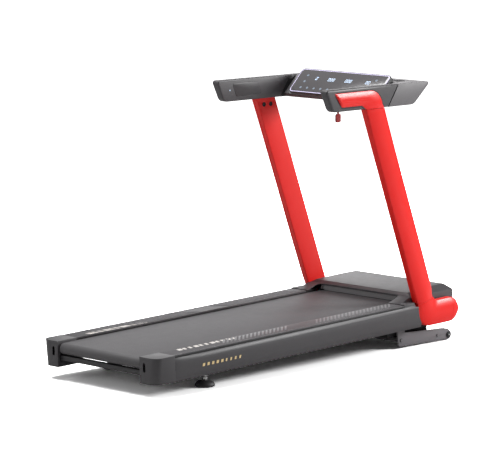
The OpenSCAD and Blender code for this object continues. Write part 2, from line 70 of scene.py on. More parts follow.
def select_parts(obj, kind, test):
    """Opens a piece for editing with only the faces or edges that pass the test selected."""
    take_up(obj)
    bpy.ops.object.mode_set(mode="EDIT")
    bpy.ops.mesh.select_mode(type=kind)
    bpy.ops.mesh.select_all(action="DESELECT")
    shape = bmesh.from_edit_mesh(obj.data)
    shape.normal_update()
    parts = shape.faces if kind == "FACE" else shape.edges
    found = [part for part in parts if test(part)]
    for part in found:
        part.select_set(True)
    bmesh.update_edit_mesh(obj.data)
    return len(found)


def edge_middle(edge):
    """The point halfway along an edge."""
    return (edge.verts[0].co + edge.verts[1].co) / 2


def is_sharp(edge, degrees=30):
    """True where two faces meet at more than the given angle."""
    return len(edge.link_faces) == 2 and edge.calc_face_angle(0) > math.radians(degrees)


def block(name, low, high):
    """A box from its lowest to its highest corner, in millimetres."""
    put_down()
    middle = [(a + b) / 2 * mm for a, b in zip(low, high)]
    bpy.ops.mesh.primitive_cube_add(size=1, location=middle)
    obj = bpy.context.object
    obj.name = name
    obj.scale = [(b - a) * mm for a, b in zip(low, high)]
    bpy.ops.object.transform_apply(location=True, rotation=True, scale=True)
    return obj


def drum(name, radius, low, high, middle=(0, 0), sides=48, axis="Z"):
    """A round bar between two heights, in millimetres, along Z or across along Y."""
    put_down()
    half = (low + high) / 2
    place = (middle[0], middle[1], half) if axis == "Z" else (middle[0], half, middle[1])
    turn = (0, 0, 0) if axis == "Z" else (math.pi / 2, 0, 0)
    bpy.ops.mesh.primitive_cylinder_add(vertices=sides, radius=radius * mm, depth=(high - low) * mm,
                                        location=[v * mm for v in place], rotation=turn)
    obj = bpy.context.object
    obj.name = name
    bpy.ops.object.transform_apply(location=True, rotation=True, scale=True)
    return obj


def slab(name, outline, near, far):
    """A plate of a given side outline, between two distances across the machine, in millimetres."""
    put_down()
    bpy.ops.mesh.primitive_circle_add(vertices=len(outline), radius=mm, fill_type="NGON")
    obj = bpy.context.object
    obj.name = name
    for vertex, (x, z) in zip(obj.data.vertices, outline):
        vertex.co = (x * mm, near * mm, z * mm)
    bpy.ops.object.mode_set(mode="EDIT")
    bpy.ops.mesh.select_all(action="SELECT")
    bpy.ops.mesh.extrude_region_move(TRANSFORM_OT_translate={"value": (0, (far - near) * mm, 0)})
    bpy.ops.mesh.select_all(action="SELECT")
    bpy.ops.mesh.normals_make_consistent(inside=False)
    bpy.ops.object.mode_set(mode="OBJECT")
    return obj


def arc(centre, radius, start, end, steps):
    """Points round part of a circle, with angles in degrees."""
    return [(centre[0] + radius * math.cos(math.radians(start + (end - start) * i / steps)),
             centre[1] + radius * math.sin(math.radians(start + (end - start) * i / steps)))
            for i in range(steps + 1)]


def crown(obj, steps):
    """Domes the outer side of a slab: each step insets the outer face and lifts it, in millimetres."""
    for inset, lift in steps:
        select_parts(obj, "FACE", lambda f: f.normal.y > 0.999 and len(f.verts) > 4)
        bpy.ops.mesh.inset(thickness=inset * mm, depth=lift * mm, use_even_offset=True)
        bpy.ops.object.mode_set(mode="OBJECT")


def quarter_steps(wide, high, count):
    """Inset and lift steps that follow a quarter of an ellipse."""
    turns = [math.pi / 2 * i / count for i in range(count + 1)]
    across = [wide * (1 - math.cos(a)) for a in turns]
    up = [high * math.sin(a) for a in turns]
    return [(across[i + 1] - across[i], up[i + 1] - up[i]) for i in range(count)]


def round_edges(obj, radius, segments=3, test=is_sharp):
    """Rounds the edges that pass the test."""
    if select_parts(obj, "EDGE", test):
        bpy.ops.mesh.bevel(offset=radius * mm, segments=segments, affect="EDGES", clamp_overlap=True)
    bpy.ops.object.mode_set(mode="OBJECT")


def twin(obj, name):
    """A copy of a piece with a mesh of its own."""
    take_up(obj)
    bpy.ops.object.duplicate(linked=False)
    other = bpy.context.object
    other.name = name
    return other


def flip_side(obj):
    """Turns a piece of the left side into one of the right side."""
    take_up(obj)
    obj.scale = (1, -1, 1)
    bpy.ops.object.transform_apply(location=True, rotation=True, scale=True)
    bpy.ops.object.mode_set(mode="EDIT")
    bpy.ops.mesh.select_all(action="SELECT")
    bpy.ops.mesh.normals_make_consistent(inside=False)
    bpy.ops.object.mode_set(mode="OBJECT")


def mirrored(obj, name):
    """A copy of a piece on the other side of the machine."""
    other = twin(obj, name)
    flip_side(other)
    return other


def join(first, *others):
    """Makes several pieces one."""
    put_down()
    for obj in (first, *others):
        obj.select_set(True)
    bpy.context.view_layer.objects.active = first
    bpy.ops.object.join()
    return first


def settle(obj, place):
    """Moves a finished piece to its place, and leaves the place in its mesh."""
    take_up(obj)
    obj.matrix_world = place
    bpy.ops.object.transform_apply(location=True, rotation=True, scale=True)


def deliver(obj, material, body, stands_for=(), place=None, smooth=35):
    """Smooths, paints and mounts a finished piece."""
    if place is not None:
        settle(obj, place)
    take_up(obj)
    bpy.ops.object.shade_smooth_by_angle(angle=math.radians(smooth))
    obj.data.materials.clear()
    obj.data.materials.append(material)
    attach(obj, body)
    if stands_for:
        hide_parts(*stands_for)
    return obj


def softened(node, radius, segments=2, name=None, sharp=32):
    """A copy of a CAD part with its triangles merged and its sharp edges rounded."""
    put_down()
    source = nodes[node]
    obj = bpy.data.objects.new(name or node + "_finished", source.data.copy())
    bpy.context.collection.objects.link(obj)
    take_up(obj)
    bpy.ops.object.mode_set(mode="EDIT")
    bpy.ops.mesh.select_all(action="SELECT")
    bpy.ops.mesh.remove_doubles(threshold=0.02 * mm)
    bpy.ops.mesh.dissolve_limited(angle_limit=math.radians(0.6))
    bpy.ops.object.mode_set(mode="OBJECT")
    if radius:
        bevel = obj.modifiers.new("edges", "BEVEL")
        bevel.width = radius * mm
        bevel.segments = segments
        bevel.limit_method = "ANGLE"
        bevel.angle_limit = math.radians(sharp)
        bevel.harden_normals = False
        bpy.ops.object.modifier_apply(modifier="edges")
    return obj


# ---- Shared surface effects ----

def new_group(name, inputs, outputs):
    """An empty shader group with named sockets; returns it with its input and output nodes."""
    group = bpy.data.node_groups.new(name, "ShaderNodeTree")
    for label, value in inputs:
        socket = group.interface.new_socket(label, in_out="INPUT", socket_type="NodeSocketFloat")
        socket.default_value = value
    for label in outputs:
        group.interface.new_socket(label, in_out="OUTPUT", socket_type="NodeSocketFloat")
    return group, group.nodes.new("NodeGroupInput"), group.nodes.new("NodeGroupOutput")


def add_node(tree, kind, settings=(), values=()):
    """A shader node with its settings, and its socket values or links."""
    node = tree.nodes.new(kind)
    for name, value in settings:
        setattr(node, name, value)
    for name, value in values:
        if isinstance(value, bpy.types.NodeSocket):
            tree.links.new(value, node.inputs[name])
        else:
            node.inputs[name].default_value = value
    return node


def sum_of(tree, kind, first, second):
    """A maths node on two sockets or numbers."""
    return add_node(tree, "ShaderNodeMath", [("operation", kind)], [(0, first), (1, second)]).outputs[0]


def make_grain():
    """Moulded or painted grain: fine height, soft tone, and a mottled patch mask."""
    group, given, out = new_group("fine grain", [("Scale", 900.0)], ["Height", "Tone", "Patches"])
    place = add_node(group, "ShaderNodeTexCoord").outputs["Object"]
    fine = add_node(group, "ShaderNodeTexNoise", [], [("Vector", place), ("Scale", given.outputs["Scale"]),
                                                      ("Detail", 3.0), ("Roughness", 0.6)])
    pebble = add_node(group, "ShaderNodeTexVoronoi", [], [
        ("Vector", place), ("Scale", sum_of(group, "MULTIPLY", given.outputs["Scale"], 1.4))])
    height = sum_of(group, "ADD", fine.outputs["Fac"], pebble.outputs["Distance"])
    group.links.new(height, out.inputs["Height"])
    soft = add_node(group, "ShaderNodeTexNoise", [], [("Vector", place), ("Scale", 7.0), ("Detail", 5.0)])
    group.links.new(soft.outputs["Fac"], out.inputs["Tone"])
    patch = add_node(group, "ShaderNodeTexNoise", [], [("Vector", place), ("Scale", 34.0), ("Detail", 4.0)])
    group.links.new(patch.outputs["Fac"], out.inputs["Patches"])
    return group


# How far from an edge the finish rubs off, in metres
EDGE_REACH = 0.0015


def make_edge_wear():
    """A mask that is strong on outer edges, broken up along them."""
    group, given, out = new_group("edge wear", [("Reach", EDGE_REACH)], ["Wear"])
    flat = add_node(group, "ShaderNodeNewGeometry").outputs["Normal"]
    rounded = add_node(group, "ShaderNodeBevel", [("samples", 4)], [("Radius", given.outputs["Reach"])])
    bent = rounded.outputs[0]
    same = add_node(group, "ShaderNodeVectorMath", [("operation", "DOT_PRODUCT")], [(0, flat), (1, bent)])
    place = add_node(group, "ShaderNodeTexCoord").outputs["Object"]
    rub = add_node(group, "ShaderNodeTexNoise", [], [("Vector", place), ("Scale", 60.0), ("Detail", 6.0)])
    edge = add_node(group, "ShaderNodeMapRange", [], [
        ("Value", same.outputs["Value"]), ("From Min", 0.995), ("From Max", 0.90)])
    broken = add_node(group, "ShaderNodeMapRange", [], [
        ("Value", rub.outputs["Fac"]), ("From Min", 0.35), ("From Max", 0.62)])
    group.links.new(sum_of(group, "MULTIPLY", edge.outputs[0], broken.outputs[0]), out.inputs["Wear"])
    return group


def make_brushed():
    """Long fine lines along the machine, as brushing or pressing leaves them."""
    group, given, out = new_group("long lines", [("Across", 1400.0), ("Along", 9.0)], ["Lines"])
    place = add_node(group, "ShaderNodeTexCoord").outputs["Object"]
    stretch = add_node(group, "ShaderNodeCombineXYZ", [], [
        (0, given.outputs["Along"]), (1, given.outputs["Across"]), (2, given.outputs["Across"])])
    scaled = add_node(group, "ShaderNodeVectorMath", [("operation", "MULTIPLY")],
                      [(0, place), (1, stretch.outputs[0])])
    lines = add_node(group, "ShaderNodeTexNoise", [],
                     [("Vector", scaled.outputs[0]), ("Scale", 1.0), ("Detail", 3.0)])
    group.links.new(lines.outputs["Fac"], out.inputs["Lines"])
    return group


def make_diamonds():
    """The pressed diamond pattern of a running belt, on its upper side."""
    group, given, out = new_group("diamond press", [("Pitch", 900.0)], ["Height"])
    place = add_node(group, "ShaderNodeTexCoord").outputs["Object"]
    parts = add_node(group, "ShaderNodeSeparateXYZ", [], [(0, place)])
    rows = []
    for kind in ("ADD", "SUBTRACT"):
        diagonal = sum_of(group, kind, parts.outputs[0], parts.outputs[1])
        rows.append(sum_of(group, "SINE", sum_of(group, "MULTIPLY", diagonal, given.outputs["Pitch"]), 0.0))
    group.links.new(sum_of(group, "MULTIPLY", rows[0], rows[1]), out.inputs["Height"])
    return group


GRAIN = make_grain()
WEAR = make_edge_wear()
BRUSHED = make_brushed()
DIAMONDS = make_diamonds()


def place_group(tree, group, **values):
    """Puts a shared effect in a material with its own values."""
    node = tree.nodes.new("ShaderNodeGroup")
    node.node_tree = group
    for label, value in values.items():
        node.inputs[label].default_value = value
    return node


def blend_colour(tree, amount, first, second):
    """A mix of two colours or colour sockets."""
    node = add_node(tree, "ShaderNodeMix", [("data_type", "RGBA")])
    tree.links.new(amount, node.inputs["Factor"])
    for label, value in (("A", first), ("B", second)):
        socket = [s for s in node.inputs if s.name == label and s.type == "RGBA"][0]
        if isinstance(value, bpy.types.NodeSocket):
            tree.links.new(value, socket)
        else:
            socket.default_value = (*value, 1)
    return [s for s in node.outputs if s.type == "RGBA"][0]


def finish(name, colour, tone, rough, grain=900.0, depth=0.03, worn=None, metallic=0.0, coat=0.0,
           lines=0.0, diamonds=0.0, shine=0.5):
    """A finished surface: two close colours, uneven gloss, fine relief and rubbed edges.

    Rough is the least and the most roughness, grain the noise scale, depth the relief in millimetres, and
    lines and diamonds how strongly those patterns add to it.
    """
    material = bpy.data.materials.new(name)
    material.use_nodes = True
    tree = material.node_tree
    shader = tree.nodes["Principled BSDF"]
    shader.inputs["Metallic"].default_value = metallic
    shader.inputs["Coat Weight"].default_value = coat
    shader.inputs["Specular IOR Level"].default_value = shine
    shader.inputs["Coat Roughness"].default_value = 0.25
    grained = place_group(tree, GRAIN, Scale=grain)
    spread = add_node(tree, "ShaderNodeMapRange", [], [
        ("Value", grained.outputs["Tone"]), ("From Min", 0.2), ("From Max", 0.8)])
    body_colour = blend_colour(tree, spread.outputs[0], colour, tone)
    if worn:
        rubbed = place_group(tree, WEAR, Reach=EDGE_REACH)
        body_colour = blend_colour(tree, rubbed.outputs["Wear"], body_colour, worn)
    tree.links.new(body_colour, shader.inputs["Base Color"])
    gloss = add_node(tree, "ShaderNodeMapRange", [], [
        ("Value", grained.outputs["Patches"]), ("From Min", 0.3), ("From Max", 0.7),
        ("To Min", rough[0]), ("To Max", rough[1])])
    tree.links.new(gloss.outputs[0], shader.inputs["Roughness"])
    relief = grained.outputs["Height"]
    if lines:
        brushed = place_group(tree, BRUSHED)
        relief = sum_of(tree, "ADD", relief, sum_of(tree, "MULTIPLY", brushed.outputs["Lines"], lines))
    if diamonds:
        pressed = place_group(tree, DIAMONDS)
        relief = sum_of(tree, "ADD", relief, sum_of(tree, "MULTIPLY", pressed.outputs["Height"], diamonds))
    bump = add_node(tree, "ShaderNodeBump", [],
                    [("Strength", 0.6), ("Distance", depth * mm), ("Height", relief)])
    tree.links.new(bump.outputs[0], shader.inputs["Normal"])
    return material


def glowing(name, colour, strength):
    """A lit mark on the display glass, a little uneven over its area."""
    material = finish(name, colour, [v * 0.9 for v in colour], (0.3, 0.4), depth=0.005)
    tree = material.node_tree
    shader = tree.nodes["Principled BSDF"]
    grained = [n for n in tree.nodes if n.type == "GROUP"][0]
    lit = blend_colour(tree, grained.outputs["Tone"], colour, [v * 0.85 for v in colour])
    tree.links.new(lit, shader.inputs["Emission Color"])
    shader.inputs["Emission Strength"].default_value = strength
    return material


graphite = finish("graphite plastic", (0.072, 0.068, 0.073), (0.066, 0.062, 0.067), (0.40, 0.44),
                  grain=1500, depth=0.05, worn=(0.16, 0.155, 0.16))
# A darker graphite: on the deck's caps and covers it is painted shade, for the deck taking less light than
# the handles; the sensor panels use it as a darker plastic.
dark_graphite_and_deck_shade = finish("dark graphite plastic and painted deck shade", (0.054, 0.051, 0.055), (0.049, 0.046, 0.050),
                       (0.44, 0.48), grain=1500, depth=0.04, worn=(0.12, 0.115, 0.12))
rail_graphite = finish("rail graphite plastic", (0.058, 0.054, 0.059), (0.053, 0.050, 0.054),
                       (0.48, 0.52), grain=1500, depth=0.04, worn=(0.22, 0.21, 0.22))
# Lighter graphite for the rail ribs, as a painted highlight where the ribs catch the light.
rib_graphite_painted_highlight = finish("rib graphite plastic lightened as painted highlight", (0.118, 0.112, 0.119), (0.108, 0.102, 0.109),
                      (0.42, 0.46), grain=1500, depth=0.04, worn=(0.20, 0.19, 0.20))
# Graphite lightened for the hood's air slot, as painted light where the slot lies in shade.
hood_slot_painted_light = finish("recess graphite plastic", (0.40, 0.39, 0.40), (0.37, 0.36, 0.37),
                     (0.45, 0.55), grain=1500, depth=0.04)
# Near-black for dark joints, also used as painted shade on the plates under the deck and on the bolt heads.
joint_black_and_painted_shade = finish("joint black and painted shade", (0.010, 0.010, 0.011), (0.014, 0.014, 0.015),
                     (0.6, 0.75), grain=1200, depth=0.04)
# Graphite lightened as painted light, as on the console front's top and outer faces.
graphite_light = finish("graphite plastic lightened as painted light", (0.155, 0.148, 0.155),
                        (0.135, 0.128, 0.135), (0.42, 0.52), grain=1500, depth=0.04, worn=(0.22, 0.21, 0.22))
black_plastic = finish("black plastic", (0.012, 0.012, 0.013), (0.018, 0.018, 0.019),
                       (0.45, 0.6), grain=1200, depth=0.05, worn=(0.06, 0.06, 0.06))
belt_rubber = finish("belt rubber", (0.084, 0.081, 0.085), (0.079, 0.076, 0.080), (0.60, 0.64),
                     grain=2200, depth=0.10, diamonds=0.8, lines=0.3)
dark_rubber = finish("dark rubber", (0.045, 0.043, 0.046), (0.040, 0.039, 0.041), (0.45, 0.65),
                     grain=700, depth=0.08, worn=(0.05, 0.05, 0.05))
red_paint = finish("red paint", (0.92, 0.014, 0.010), (0.88, 0.012, 0.008), (0.40, 0.44),
                   grain=2600, depth=0.02, worn=(0.95, 0.05, 0.04), shine=0.35)
red_cover = finish("red cover", (0.95, 0.010, 0.006), (0.91, 0.008, 0.005), (0.30, 0.34),
                   grain=2600, depth=0.02, worn=(0.95, 0.05, 0.04), shine=0.42)
frame_paint = finish("frame paint", (0.022, 0.021, 0.023), (0.028, 0.027, 0.029), (0.38, 0.5),
                     grain=1100, depth=0.06, worn=(0.10, 0.10, 0.10))
lever_paint = finish("lever paint", (0.185, 0.176, 0.187), (0.170, 0.162, 0.172), (0.40, 0.46),
                     grain=1300, depth=0.05, worn=(0.25, 0.25, 0.25))
zinc = finish("zinc plate", (0.62, 0.61, 0.60), (0.52, 0.52, 0.52), (0.22, 0.36), grain=500,
              depth=0.02, metallic=1.0, lines=0.4)
roller_steel = finish("roller steel", (0.55, 0.55, 0.56), (0.45, 0.45, 0.46), (0.25, 0.4),
                      grain=700, depth=0.03, metallic=1.0, lines=0.8)
board = finish("waxed board", (0.040, 0.030, 0.022), (0.026, 0.020, 0.015), (0.4, 0.6), grain=300,
               depth=0.2, lines=2.0)
motor_paint = finish("motor paint", (0.03, 0.03, 0.033), (0.04, 0.04, 0.042), (0.35, 0.5), grain=800,
                     depth=0.06, worn=(0.2, 0.2, 0.2))
rotor_steel = finish("rotor steel", (0.42, 0.42, 0.44), (0.32, 0.32, 0.34), (0.3, 0.45), grain=600,
                     depth=0.03, metallic=1.0, lines=0.6)
bare_aluminium = finish("heat sink aluminium", (0.60, 0.60, 0.62), (0.5, 0.5, 0.52),
                        (0.3, 0.45), grain=900, depth=0.02, metallic=1.0, lines=0.6)
screen_glass = finish("smoked display glass", (0.105, 0.100, 0.105), (0.085, 0.080, 0.085),
                      (0.10, 0.16), grain=300, depth=0.002, coat=0.6)
key_red = finish("key plastic", (0.35, 0.012, 0.014), (0.28, 0.010, 0.012), (0.25, 0.35),
                 grain=900, depth=0.02, worn=(0.5, 0.05, 0.05), coat=0.2)
edge_light = glowing("lit edge", (0.72, 0.66, 0.92), 0.45)
digit_light = glowing("lit digit", (0.62, 0.76, 0.95), 0.72)
faint_light = glowing("faint icon", (0.20, 0.25, 0.32), 0.05)
gold_foil = finish("gold foil", (0.80, 0.62, 0.32), (0.70, 0.52, 0.25), (0.35, 0.45), grain=900,
                   depth=0.01, metallic=0.4)
pale_print = finish("pale print", (0.62, 0.58, 0.54), (0.52, 0.48, 0.45), (0.4, 0.5), grain=900,
                    depth=0.01)

BY_SLOT = {"frame_paint": frame_paint, "zinc_steel": zinc, "roller_steel": roller_steel, "board": board,
           "rubber": dark_rubber, "belt": belt_rubber, "graphite": graphite, "graphite_light": graphite_light,
           "black_plastic": black_plastic, "red_paint": red_paint, "red_cover": red_cover,
           "motor": motor_paint, "rotor": rotor_steel, "electronics": bare_aluminium,
           "screen": screen_glass, "light": edge_light, "key_plastic": key_red, "lever_paint": lever_paint}


def paint_cad_parts():
    """Every CAD part takes the finish of its own slot."""
    for part in frame["record"]["subparts"]:
        node = nodes[part["node"]]
        node.data.materials.clear()
        node.data.materials.append(BY_SLOT[part["material_slot"]])


def to_level(points):
    """Points of the tilted deck as points above the floor, in millimetres."""
    c, s = math.cos(DECK_TILT), math.sin(DECK_TILT)
    return [(x * c - z * s, x * s + z * c) for x, z in points]


# ---- Uprights, shoes and handle inlays ----

# Side view, in millimetres: where an upright's rear edge starts, how it leans, and the console's heights
UPRIGHT_FOOT = (1610, 224)
LEAN = math.tan(math.radians(21.4))
HANDLE_LOW = 1103
CONSOLE_TOP = 1200
# The red skin's edges along the handle, and the round toe of the shoe with its radius
INLAY_LOW, INLAY_TOP = 1120.5, 1185
TOE, TOE_RADIUS = (1841, 105), 56


def rear_x(z):
    """The rear edge of an upright at a height above the floor."""
    return UPRIGHT_FOOT[0] - (z - UPRIGHT_FOOT[1]) * LEAN


def fillet(corner, before, after, radius, steps=5):
    """Points that round one corner of an outline."""
    here = Vector(corner)
    to_before = (Vector(before) - here).normalized()
    to_after = (Vector(after) - here).normalized()
    half = to_before.angle(to_after) / 2
    middle = here + (to_before + to_after).normalized() * radius / math.sin(half)
    first = here + to_before * radius / math.tan(half) - middle
    last = here + to_after * radius / math.tan(half) - middle
    turn = first.angle_signed(last)
    return [tuple(middle + Matrix.Rotation(-turn * i / steps, 2) @ first) for i in range(steps + 1)]


def between(a, b, count):
    """Points from a to b, with both ends."""
    return [(a[0] + (b[0] - a[0]) * i / count, a[1] + (b[1] - a[1]) * i / count) for i in range(count + 1)]


def band_stations():
    """Pairs of edge points down the red band, and the station where each part of it ends."""
    bend_low, bend_top = (rear_x(HANDLE_LOW) - 35, HANDLE_LOW - 2), (1290, 1103)
    low_tip, top_tip = (1107, INLAY_LOW), (1061, INLAY_TOP)
    start = [(low_tip, top_tip)]
    for step in (1.2, 4, 8, 13):
        start.append(((low_tip[0] + step, INLAY_LOW), (top_tip[0] + step * 1.2, INLAY_TOP)))
    limb = list(zip(between(start[-1][0], (bend_low[0], INLAY_LOW), 8),
                    between(start[-1][1], (bend_top[0], INLAY_TOP), 8)))
    elbow = list(zip(arc(bend_low, 19.5, 90, 27, 12), arc(bend_top, 82, 90, 5, 12)))
    seam = [((rear_x(HANDLE_LOW) - 2, HANDLE_LOW + 0.8), (rear_x(HANDLE_LOW) + 116.5, HANDLE_LOW + 0.8))]
    upper = start + limb[1:] + elbow[1:-1] + seam
    post = [((rear_x(z) - 3, z), (rear_x(z) + 117.5, z))
            for z in [HANDLE_LOW - 0.6] + [1060 - 70 * i for i in range(12)] + [262]]
    ankle_low, ankle_top = to_level([(1625.5, 156.4)])[0], to_level([(1720.5, 177.6)])[0]
    post.append((ankle_low, ankle_top))
    below_low, below_top = to_level([(1625.3, 155.4)])[0], to_level([(1721.0, 176.6)])[0]
    heel = to_level(arc((1708, 136), 86.5, 184, 270, 14))
    instep = to_level(arc((1762, 197), 37, 214, 270, 14))
    foot = [(below_low, below_top)] + list(zip(heel, instep))
    flat = list(zip(to_level(between((1708, 49.3), (TOE[0], 49), 6)),
                    to_level(between((1762, 160.5), (TOE[0], 161), 6))))
    foot += flat[1:]
    toe = list(zip(to_level(arc(TOE, TOE_RADIUS, -90, -7, 16)), to_level(arc(TOE, TOE_RADIUS, 90, 7, 16))))
    foot.append(toe[2])
    cap = [tuple((p[0] + 0.9, p[1]) for p in toe[2])] + toe[3:]
    return {"handle_inlay": upper, "upright_cover": post, "shoe": foot, "shoe_cap": cap}


# Where the skin has its lines of points between its two edges, as parts of its width
ACROSS = [0, 0.008, 0.02, 0.04, 0.08, 0.15, 0.25, 0.375, 0.5, 0.625, 0.75, 0.85, 0.92, 0.96, 0.98, 0.992, 1]
# For each part of the skin: how far out its edge stands, its swell above that, and its inner face
SKIN = {"handle_inlay": (350.4, 7.0, 338.4), "upright_cover": (347.6, 10.4, 338.4),
        "shoe": (344.4, 13.4, 319.4), "shoe_cap": (344.4, 13.4, 319.4)}
SKIN_ROUNDING = 2.2


def band_lift(part, station, count, t):
    """Where the skin's outer face stands across the treadmill, in millimetres."""
    edge, height, _ = SKIN[part]
    ends = 1.0
    if part == "upright_cover":
        low, top = max(0.0, (station - count + 4) / 4), max(0.0, (3 - station) / 3)
        edge += -3.2 * low + 2.8 * top
        height += 3.0 * low - 1.6 * top
    if part == "handle_inlay":
        ends = math.sin(math.pi / 2 * min(1.0, (station + 0.6) / 4))
        height -= 0.8 * max(0.0, (station - count + 4) / 4)
    if part == "shoe_cap":
        ends = math.sqrt(max(0.0, 1 - (station / count) ** 2.6)) * 0.97 + 0.03
    lens = 1 - (2 * t - 1) ** 2
    rim = min(1.0, min(t, 1 - t) / 0.03)
    return edge - SKIN_ROUNDING + (height * lens + SKIN_ROUNDING * math.sqrt(1 - (1 - rim) ** 2)) * ends


def build_band(part, stations, side):
    """One part of the red skin: a fine sheet laid over its edge points, then closed behind."""
    put_down()
    rows, columns = len(stations) + 2, len(ACROSS) + 2
    bpy.ops.mesh.primitive_grid_add(x_subdivisions=columns - 1, y_subdivisions=rows - 1, size=1)
    skin = bpy.context.object
    skin.name = f"{part}_{side}_finished"
    inner = SKIN[part][2]
    for index, vertex in enumerate(skin.data.vertices):
        row, column = divmod(index, columns)
        station = min(max(row - 1, 0), rows - 3)
        low, top = stations[station]
        t = ACROSS[min(max(column - 1, 0), len(ACROSS) - 1)]
        walled = column in (0, columns - 1) or row in (0, rows - 1)
        y = inner if walled else band_lift(part, station, rows - 3, t)
        vertex.co = Vector((low[0] + (top[0] - low[0]) * t, y, low[1] + (top[1] - low[1]) * t)) * mm
    select_parts(skin, "EDGE", lambda e: e.is_boundary)
    bpy.ops.mesh.edge_face_add()
    bpy.ops.mesh.select_all(action="SELECT")
    bpy.ops.mesh.normals_make_consistent(inside=False)
    bpy.ops.object.mode_set(mode="OBJECT")
    return skin


def build_red_bands():
    """The red skin of both sides, from the handles down to the toes of the shoes."""
    for part, stations in band_stations().items():
        left = build_band(part, stations, "left")
        right = mirrored(left, f"{part}_right_finished")
        for obj, side in ((left, "left"), (right, "right")):
            deliver(obj, red_cover, "frame", [f"{part}_{side}"], LEVEL, 45)


TUBE_LOW, TUBE_TOP = 206, 1118
BOLTS_X, BOLTS_Z = (1310, 1353), 1074.5


def build_uprights():
    """The painted tubes behind the red covers, with two bolts at the top of each."""
    tube = slab("upright_left_finished", [
        (rear_x(TUBE_LOW) - 2.5, TUBE_LOW), (rear_x(TUBE_LOW) + 117, TUBE_LOW),
        (rear_x(TUBE_TOP) + 117, TUBE_TOP), (rear_x(TUBE_TOP) - 2.5, TUBE_TOP)], 316.5, 338.2)
    round_edges(tube, 2.5, 3, lambda e: is_sharp(e, 50) and abs(edge_middle(e).z - 0.66) < 0.1)
    other = mirrored(tube, "upright_right_finished")
    deliver(tube, red_paint, "frame", ["upright_left"], LEVEL, 40)
    deliver(other, red_paint, "frame", ["upright_right"], LEVEL, 40)
    for x in BOLTS_X:
        head = drum("bolt", 10.0, 313.6, 318, (x, BOLTS_Z), 32, "Y")
        select_parts(head, "FACE", lambda f: f.normal.y < -0.9)
        bpy.ops.mesh.inset(thickness=2.2 * mm, depth=0)
        bpy.ops.mesh.inset(thickness=0.2 * mm, depth=-2.4 * mm)
        round_edges(head, 0.6, 2, lambda e: is_sharp(e, 60) and e.calc_length() < 3 * mm)
        near = mirrored(head, f"upright_bolt_right_{x}")
        head.name = f"upright_bolt_left_{x}"
        # Black bolt heads, in the near-black that also serves as painted shade, so their sockets read dark.
        deliver(head, joint_black_and_painted_shade, "frame", ["upright_bolts"], LEVEL)
        deliver(near, joint_black_and_painted_shade, "frame", ["upright_bolts"], LEVEL)


# ---- Handles and console ----

SENSOR_CORNERS = [(1103, 1183), (1261, 1183), (1289, 1129), (1129, 1125)]
SENSOR_ROUNDING = 9


def build_handles():
    """The dark handle shells, each with its sensor panel and the joint line round its inlay."""
    outline = (arc((1025, 1189), 12.5, 92, 190, 8) + arc((1074, 1137), 34, 195, 270, 8)
               + [(1409, HANDLE_LOW), (1475, CONSOLE_TOP)])
    for side, sign in SIDES:
        body = slab(f"handle_{side}_finished", outline, 311, 343)
        crown(body, quarter_steps(9, 7, 5))
        round_edges(body, 5, 4, lambda e: is_sharp(e, 50) and edge_middle(e).y < 312 * mm
                    and edge_middle(e).x < 1400 * mm)
        if sign < 0:
            flip_side(body)
        deliver(body, graphite, "frame", [f"handle_{side}"], LEVEL, 40)
        rounded = []
        for i, corner in enumerate(SENSOR_CORNERS):
            rounded += fillet(corner, SENSOR_CORNERS[i - 1], SENSOR_CORNERS[(i + 1) % 4], SENSOR_ROUNDING, 5)
        for name, near, paint in (("sensor_panel", 310.1, dark_graphite_and_deck_shade),
                                  ("sensor_joint", 310.75, joint_black_and_painted_shade)):
            panel = slab(f"{name}_{side}", rounded, near, 312.5)
            if name == "sensor_joint":
                take_up(panel)
                bpy.ops.object.mode_set(mode="EDIT")
                bpy.ops.mesh.select_all(action="SELECT")
                bpy.ops.transform.resize(value=(1.022, 1, 1.05))
                bpy.ops.object.mode_set(mode="OBJECT")
            round_edges(panel, 0.4, 2, lambda e: is_sharp(e, 50) and edge_middle(e).y < 311.5 * mm)
            if sign < 0:
                flip_side(panel)
            deliver(panel, paint, "frame", ["sensor_panels"] if name == "sensor_panel" else [], LEVEL, 30)
        gasket = slab(f"inlay_gasket_{side}", gasket_outline(), 344, 350.3)
        round_edges(gasket, 0.4, 1, lambda e: is_sharp(e, 50) and edge_middle(e).y > 350 * mm)
        if sign < 0:
            flip_side(gasket)
        deliver(gasket, joint_black_and_painted_shade, "frame", [], LEVEL, 40)


def gasket_outline():
    """A thin black joint line round the inlay."""
    inner = arc((rear_x(HANDLE_LOW) - 35, HANDLE_LOW - 2), 14.5, 90, 10, 6)
    bend = arc((1290, HANDLE_LOW), 84.5, 12, 90, 12)
    tip_top, tip_low = (1053, 1187.5), (1106, 1115)
    return ([(rear_x(HANDLE_LOW) - 14, 1104.5), (rear_x(HANDLE_LOW) + 116, 1104.5)] + bend
            + fillet(tip_top, bend[-1], tip_low, 12, 6) + fillet(tip_low, tip_top, inner[0], 16, 4)
            + inner[:-2])


# The console's smaller parts, with their finishes and how far their edges are rounded
CONSOLE_PARTS = [("display_housing", black_plastic, 1.5), ("display_glass", screen_glass, 0.5),
                 ("light_ring", edge_light, 0.25), ("safety_socket", black_plastic, 0.25)]


